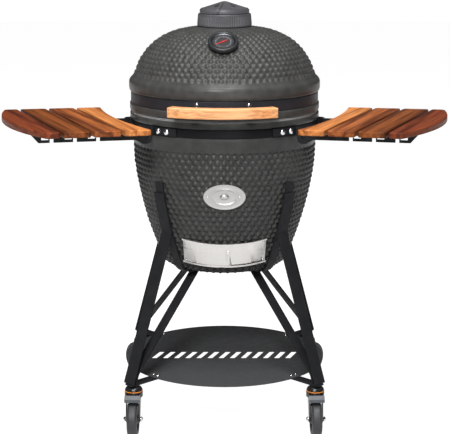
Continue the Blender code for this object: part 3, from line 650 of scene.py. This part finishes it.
def make_vent():
    ribs, columns = 88, 880
    wall = [(0.0480, 1.1540), (0.0700, 1.1612), (0.0706, 1.1618), (0.0738, 1.1618), (0.0746, 1.1610),
            (0.0752, 1.1590)]
    side = [(0.0757 + 0.0019 * s, 1.1580 - 0.0250 * s) for s in (0, 0.25, 0.5, 0.75, 1)]
    foot = [(0.0774, 1.1305), (0.0774, 1.1280), (0.0764, 1.1266), (0.0750, 1.1263), (0.0480, 1.1263)]
    phi = np.arange(columns) * 2 * math.pi / columns
    wave = 0.0008 * np.cos(phi * ribs) - 0.0008
    ribbed = rings_of(side, columns)
    scale = 1 + wave[None, :, None] / np.array([r for r, _ in side])[:, None, None]
    ribbed[:, :, :2] *= scale
    blocks = [rings_of(wall, columns), ribbed, rings_of(foot, columns)]
    piece("vent_collar", skin_mesh("vent_collar", blocks), "iron", "lid", smooth=45)
    spokes = [math.radians(72 * i + 20) for i in range(5)]
    steps = [2 * math.pi * k / 24 for k in range(24)]
    hole_r, petal_r = 0.032, 0.034
    holes = [[(hole_r * math.cos(a) + x * math.cos(a) - y * math.sin(a),
               hole_r * math.sin(a) + x * math.sin(a) + y * math.cos(a))
              for x, y in ((0.0124 * math.cos(t), 0.0065 * math.sin(t)) for t in steps)] for a in spokes]
    piece("vent_seat", flat_mesh("vent_seat", [circle(0, 0, 0.0702, 96)] + holes, 0.0045), "iron", "lid",
          Matrix.Translation((0, 0, 1.1568)), ["vent_base"], bevel=0.0006)

    shell = [(0.0, 1.1960), (0.0030, 1.1959), (0.0080, 1.1949), (0.0640, 1.1768), (0.0668, 1.1764),
             (0.0672, 1.1746), (0.0698, 1.1738), (0.0705, 1.1725), (0.0705, 1.1645), (0.0702, 1.1630),
             (0.0694, 1.1623), (0.0668, 1.1623), (0.0668, 1.1712), (0.0, 1.1922)]
    petal = [(0.0135 * math.cos(t), 0.0062 * math.sin(t) * (1 + 0.35 * math.cos(t))) for t in steps]
    changes = []
    for a in spokes:
        where = Matrix.Translation((petal_r * math.cos(a), petal_r * math.sin(a), 1.1820))
        changes.append(("DIFFERENCE", flat_mesh("petal", [petal], 0.04),
                        where @ Matrix.Rotation(a, 4, "Z")))
    lever = [(0.0180, 1.1895), (0.0660, 1.1738), (0.0686, 1.1680), (0.0695, 1.1632), (0.0738, 1.1634),
             (0.0748, 1.1700), (0.0736, 1.1768), (0.0690, 1.1792), (0.0220, 1.1942)]
    changes.append(("UNION", flat_mesh("lever", [rounded_loop(lever, 0.0016, 3)], 0.0075),
                    radial_frame(math.radians(-105))))
    cap = boolean(turned_mesh("vent_cap_cone", shell, 128), changes)
    piece("vent_cap_cone", cap, "iron", "vent_cap", replaces=["vent_cap"], smooth=38)


def make_hinge():
    for node in ("hinge_lower", "hinge_upper"):
        dress(node, "black", 0.0006)
    dress("hinge_pin", "chrome", 0.0006)
    plate_r = 0.2718
    outs = [heading(math.radians(degrees)) for degrees in (80.5, 99.5)]
    for name, body, z in (("lower", BODY, 0.8553), ("upper", "lid", 0.9295)):
        places = [(out * plate_r + Vector((0, 0, z)), out) for out in outs]
        dome_heads("hinge_bolts_" + name, places, 0.0052, 0.0036, "chrome", body)


# ---------------------------------------------------------------- front fittings
def make_badge():
    slope = (base_radius(BADGE_Z + 0.038) - base_radius(BADGE_Z - 0.038)) / 0.076
    # Lifts of the half section over the egg, from the middle out, with reach in parts of the half width.
    boss = [(0.0, 0.0072), (0.09, 0.0070), (0.15, 0.0060), (0.19, 0.0044), (0.205, 0.0020), (0.22, 0.0006)]
    hollow = [(0.50, 0.0006), (0.55, 0.0012), (0.585, 0.0026), (0.62, 0.0030), (0.66, 0.0021)]
    rim = [(0.93, 0.0017), (0.955, 0.0022), (0.985, 0.0020), (1.0, 0.0010), (1.0, 0.0002), (0.0, 0.0002)]
    count = 96
    verts, rings = [], []
    for reach, lift in boss + hollow + rim:
        ring = []
        for k in range(count if reach else 1):
            a = 2 * math.pi * k / count
            x, up = BADGE_WIDE * reach * math.cos(a), BADGE_TALL * reach * math.sin(a)
            radius = base_radius(BADGE_Z) + slope * up + 0.0008 + lift
            ring.append(len(verts))
            verts.append((x, -math.sqrt(radius * radius - x * x), BADGE_Z + up))
        rings.append(ring * (count if len(ring) == 1 else 1))
    mesh = mesh_of("badge", verts, [face[::-1] for face in ring_faces(rings)])
    piece("badge", mesh, "badge", BODY, replaces=["badge_plate"], smooth=50)
    places = []
    for x in (-0.0475, 0.0425):
        radius = base_radius(BADGE_Z) + 0.0022
        out = heading(FRONT + math.asin(x / radius))
        places.append((out * radius + Vector((0, 0, BADGE_Z)), (out.x, out.y, -slope)))
    dome_heads("badge_screws", places, 0.0034, 0.0016, "chrome", BODY)


def make_draft():
    for node, bevel in (("draft_track", 0.0003), ("draft_door", 0.0003), ("draft_screen", 0.0002)):
        dress(node, "stainless", bevel)
    place = draft_frame()
    places = []
    face = 0.0042                   # outer face of the track, out from the door's cone
    for degrees in (-30.5, 30.5):
        for s in (-0.0300, 0.0300):
            out = heading(FRONT + math.radians(degrees))
            point = place @ (out * (DRAFT_R + DRAFT_CONE * s + face) + Vector((0, 0, s)))
            places.append((point, place.to_3x3() @ out))
    dome_heads("draft_screws", places, 0.0030, 0.0016, "chrome", BODY)


# ---------------------------------------------------------------- stand
def make_stand():
    levels = list(np.linspace(STRAP_TOP, 0.4520, 26))
    hug = [(base_radius(z), z) for z in levels] + [(0.1680, 0.4436), (0.1520, 0.4396), (0.1240, 0.4385),
                                                   (0.1180, 0.4385)]
    saddle = offset_path(hug, HUG + BAR / 2)
    brace = saddle[:-1] + rounded([saddle[-1], (0.3585, 0.1720), (0.3635, 0.1440)], 0.012)
    over = [(base_radius(z), z) for z in np.linspace(LEG_TOP, LEG_BEND, 12)]
    leg = offset_path(over, HUG + BAR + GAP + BAR / 2)
    leg = leg[:-1] + rounded([leg[-2], leg[-1], (0.3792, 0.1475)], 0.030)[1:]
    half = BRACE_WIDTH / 2
    arm = rounded_loop([(0.2620, -half), (0.3820, -half), (0.3820, half), (0.2620, half)], 0.004)
    nut = [(0.0, 0.0165), (0.0038, 0.0160), (0.0044, 0.0150), (0.0044, 0.0105), (0.0078, 0.0105),
           (0.0090, 0.0096), (0.0090, 0.0016), (0.0110, 0.0014), (0.0110, 0.0), (0.0, 0.0)]
    for corner, (sx, sy) in CORNERS.items():
        place = radial_frame(math.atan2(sy, sx))
        mesh = flat_mesh("leg", [strip(leg, BAR)], BAR_WIDTH)
        piece("leg_bar_" + corner, mesh, "bar", BODY, place, ["leg_" + corner], bevel=0.0007)
        mesh = flat_mesh("brace", [strip(brace, BAR)], BRACE_WIDTH)
        piece("brace_bar_" + corner, mesh, "bar", BODY, place, ["brace_" + corner], bevel=0.0007)
        out = place.col[0].to_3d()
        side = Vector((0, 0, 1)).cross(out)
        piece("foot_arm_" + corner, flat_mesh("foot", [arm], BAR), "bar", BODY,
              axes((0, 0, 0.1440), out, side), bevel=0.0007)
        places = [(out * 0.2780 + side * w + Vector((0, 0, 0.1499)), (0, 0, 1)) for w in (-0.009, 0.009)]
        dome_heads("shelf_bolts_" + corner, places, 0.0060, 0.0045, "chrome", BODY)
        piece("stem_nut_" + corner, turned_mesh("stem_nut", nut, 6), "chrome", BODY,
              Matrix.Translation((sx * CASTER, sy * CASTER, 0.1466)), smooth=0, bevel=0.0004)
    smooth_ring("cradle_hoop", [(0.0755, 0.4380), (0.1075, 0.4380), (0.1080, 0.4375), (0.1080, 0.4325),
                                (0.1075, 0.4320), (0.0755, 0.4320), (0.0750, 0.4325), (0.0750, 0.4375)],
                "bar", BODY, ["cradle_ring"], 96)
    dress("bottom_shelf", "shelf", 0.0005)


def make_casters():
    upright = axes((0, 0, 0), (1, 0, 0), (0, 0, 1))
    dome = [(0.0, 0.1411), (0.0108, 0.1411), (0.0112, 0.1390), (0.0170, 0.1376), (0.0215, 0.1348),
            (0.0243, 0.1310), (0.0254, 0.1272), (0.0232, 0.1262), (0.0232, 0.1242), (0.0256, 0.1232),
            (0.0260, 0.1200), (0.0260, 0.1100), (0.0254, 0.1083), (0.0, 0.1083)]
    pin = [(0.0, 0.0226), (0.0040, 0.0226), (0.0062, 0.0206), (0.0054, 0.0200), (0.0054, -0.0200),
           (0.0062, -0.0206), (0.0040, -0.0226), (0.0, -0.0226)]
    seal = [(0.0226, 0.1268), (0.0248, 0.1264), (0.0258, 0.1255), (0.0258, 0.1245), (0.0248, 0.1238),
            (0.0226, 0.1238)]
    shoulder = 0.0094
    tread = [(0.0380, 0.0140)] + [(WHEEL_R - shoulder + shoulder * math.sin(a),
                                   0.0148 - shoulder + shoulder * math.cos(a))
                                  for a in (math.radians(10 * k) for k in range(10))]
    tread += [(r, -z) for r, z in reversed(tread)] + [(0.0372, -0.0120), (0.0372, 0.0120)]
    core = [(0.0064, 0.0148), (0.0120, 0.0148), (0.0130, 0.0120), (0.0170, 0.0090), (0.0330, 0.0090),
            (0.0360, 0.0125), (0.0374, 0.0128)]
    core += [(r, -z) for r, z in reversed(core)]
    for corner, (sx, sy) in CORNERS.items():
        place = Matrix.Translation((sx * CASTER, sy * CASTER, 0))
        place = place @ Matrix.Rotation(math.radians(TRAIL_AZIMUTH[corner]), 4, "Z")
        axle = place @ axes((TRAIL, 0, WHEEL_R), (1, 0, 0), (0, 0, 1))
        body, wheel = "caster_" + corner, "wheel_" + corner
        cheek = [(-0.0180, 0.1085), (-0.0180, 0.1235), (0.0210, 0.1235), (0.0370, 0.1170), (0.0370, 0.1080),
                 (0.0310, 0.0960), (0.0400, 0.0560), (0.0380, 0.0410), (0.0220, 0.0410), (0.0180, 0.0520)]
        if sy > 0:
            cheek[3:5] = [(0.0270, 0.1070)]
        plate = flat_mesh("cheek", [rounded_loop(cheek, 0.007)], 0.0030)
        shapes = [(*turned(dome, 48), Matrix.Identity(4))]
        for side in (-1, 1):
            shapes.append(shape_of(plate, Matrix.Translation((0, side * FORK_Y, 0)) @ upright))
        shapes.append((*turned(pin, 24), Matrix.Translation((TRAIL, 0, WHEEL_R)) @ upright))
        piece("fork_" + corner, gathered("fork", shapes), "fork", body, place, ["caster_fork_" + corner],
              smooth=40, bevel=0.0006)
        hub_ends = []
        for side in (-1, 1):
            facing = place.to_3x3() @ Vector((0, side, 0))
            hub_ends.append((place @ Vector((TRAIL, side * 0.0222, WHEEL_R)), facing))
        dome_heads("axle_nuts_" + corner, hub_ends, 0.0078, 0.0062, "chrome", body)
        piece("seal_" + corner, turned_mesh("seal", seal, 48, closed=True), "orange", body, place)
        piece("tread_" + corner, turned_mesh("tread", tread, 96, closed=True), "tyre", wheel, axle, smooth=40)
        piece("hub_" + corner, turned_mesh("hub", core, 72, closed=True), "hub", wheel, axle,
              ["caster_wheel_" + corner], smooth=40)
        if sy < 0:
            dress("brake_pedal_" + corner, "pedal", 0.0012)


# ---------------------------------------------------------------- side tables
def table_point(side, u, v, z):
    """World point from a table's own axes: u out along it, v to the rear."""
    cos, sin = math.cos(TABLE_TURN), math.sin(TABLE_TURN)
    return Vector((side * (u * cos + v * sin), -u * sin + v * cos, z))


def make_table(word, side):
    out, up = table_point(side, 1, 0, 0), Vector((0, 0, 1))
    cos, sin = math.cos(TABLE_RISE), math.sin(TABLE_RISE)
    along, normal = out * cos + up * sin, up * cos - out * sin
    pivot = table_point(side, HINGE_U, 0, HINGE_Z)
    flat = axes(pivot + normal * (BOARD_BOTTOM + BOARD_T / 2), along, normal.cross(along))
    vs = [BOARD_HALF * (2 * i / 24 - 1) for i in range(25)]
    lines = [[(BOARD_INNER - v * v / INNER_CURVE, v) for v in vs]]
    for i in range(3):
        middle = FIRST_GAP_U - HINGE_U + i * BOARD_PITCH
        for u in (middle - BOARD_GAP / 2, middle + BOARD_GAP / 2):
            lines.append([(u, -BOARD_HALF), (u, BOARD_HALF)])
    lines.append([(BOARD_OUTER - v * v / OUTER_CURVE, v) for v in vs])
    for i, (light, dark) in enumerate(BOARD_TONES):
        inner, outer = lines[2 * i], lines[2 * i + 1]
        outline = rounded_loop(inner + outer[::-1], 0.0080, 5)
        finish = wood(f"acacia_{word}_{i + 1}", light, dark, (1.0, 0.045, 1.0), turn=flat.to_euler())
        piece(f"board_{word}_{i + 1}", flat_mesh("board", [outline], BOARD_T), finish, "table_" + word, flat,
              [f"table_{word}_board_{i + 1}"], bevel=0.0022, bevel_steps=3, smooth=60)
    pad_r = 0.2719                  # outer face of the bracket pads on the band
    for place, sign in (("front", -1), ("rear", 1)):
        dress(f"table_{word}_arm_{place}", "black", 0.0004)
        dress(f"table_{word}_bracket_{place}", "black", 0.0004)
        heads = []
        for w in (0.1180, 0.1450):
            facing = heading(math.atan2(out.y, out.x) + side * sign * math.asin(w / pad_r))
            heads.append((facing * (pad_r + 0.0002) + Vector((0, 0, 0.8552)), facing))
        dome_heads(f"bracket_bolts_{word}_{place}", heads, 0.0084, 0.0056, "chrome", BODY)
        pivot_end = (table_point(side, HINGE_U, sign * (ARM_V + 0.0020), HINGE_Z),
                     table_point(side, 0, sign, 0))
        dome_heads(f"table_pivot_{word}_{place}", [pivot_end], 0.0066, 0.0048, "black", BODY)


def make_inside():
    dress("firebox", "firebrick")
    dress("fire_ring", "firebrick")
    dress("charcoal_grate", "iron", 0.0008)
    dress("cooking_grate", "grate", 0.0008)


make_base()
make_lid()
make_bands()
make_handle()
make_thermometer()
make_vent()
make_hinge()
make_badge()
make_draft()
make_stand()
make_casters()
make_table("left", -1)
make_table("right", 1)
make_inside()


# ---------------------------------------------------------------- studio
def make_studio():
    floor_mesh = mesh_of("floor", [(-15, -15, 0), (15, -15, 0), (15, 15, 0), (-15, 15, 0)], [(0, 1, 2, 3)])
    floor = bpy.data.objects.new("floor", floor_mesh)
    paper = Shader("studio_floor", (0.25, 0.25, 0.25), 0.9, Emission_Strength=0.96)
    paper.bsdf.inputs["Emission Color"].default_value = (1, 1, 1, 1)
    floor_mesh.materials.append(paper.material)
    work = bmesh.new()
    bmesh.ops.create_uvsphere(work, u_segments=48, v_segments=24, radius=14.0)
    bmesh.ops.reverse_faces(work, faces=work.faces)
    dome_mesh = bpy.data.meshes.new("backdrop")
    work.to_mesh(dome_mesh)
    work.free()
    backdrop = bpy.data.objects.new("backdrop", dome_mesh)
    sky = Shader("studio_white", (0, 0, 0), 1.0, Emission_Strength=1.05)
    sky.bsdf.inputs["Emission Color"].default_value = (1, 1, 1, 1)
    dome_mesh.materials.append(sky.material)
    floor.visible_diffuse = False
    for kind in ("diffuse", "glossy", "transmission", "shadow", "volume_scatter"):
        setattr(backdrop, "visible_" + kind, False)
    for made in (floor, backdrop):
        bpy.context.scene.collection.objects.link(made)

    world = bpy.data.worlds.new("studio")
    bpy.context.scene.world = world
    world.use_nodes = True
    world.node_tree.nodes["Background"].inputs["Color"].default_value = (1, 1, 1, 1)
    world.node_tree.nodes["Background"].inputs["Strength"].default_value = 0.06

    # name, place, side of the square, watts, whether it shows in reflections
    lamps = (("key", (-0.6, -3.6, 3.1), 1.0, 165, True), ("fill", (0.5, -3.6, 0.7), 1.2, 16, True),
             ("top", (0.0, -1.3, 4.2), 1.6, 135, True), ("back", (0.9, 3.9, 2.2), 1.8, 70, False),
             ("side_left", (-3.9, 1.2, 1.6), 1.6, 22, False), ("side_right", (3.9, 1.2, 1.6), 1.6, 22, False))
    for name, place, size, power, gloss in lamps:
        data = bpy.data.lights.new(name, "AREA")
        data.shape = "SQUARE"
        data.size = size
        data.energy = power
        lamp = bpy.data.objects.new(name, data)
        bpy.context.scene.collection.objects.link(lamp)
        lamp.visible_glossy = gloss
        lamp.location = place
        lamp.rotation_euler = (AIM - Vector(place)).to_track_quat("-Z", "Y").to_euler()

    data = bpy.data.cameras.new("camera")
    data.sensor_width = 36.0
    data.lens = LENS
    camera = bpy.data.objects.new("camera", data)
    bpy.context.scene.collection.objects.link(camera)
    camera.location = CAMERA_PLACE
    camera.rotation_euler = (CAMERA_TILT, 0, 0)
    bpy.context.scene.camera = camera
    bpy.context.scene.view_settings.view_transform = "Standard"
    bpy.context.scene.view_settings.look = "None"


make_studio()
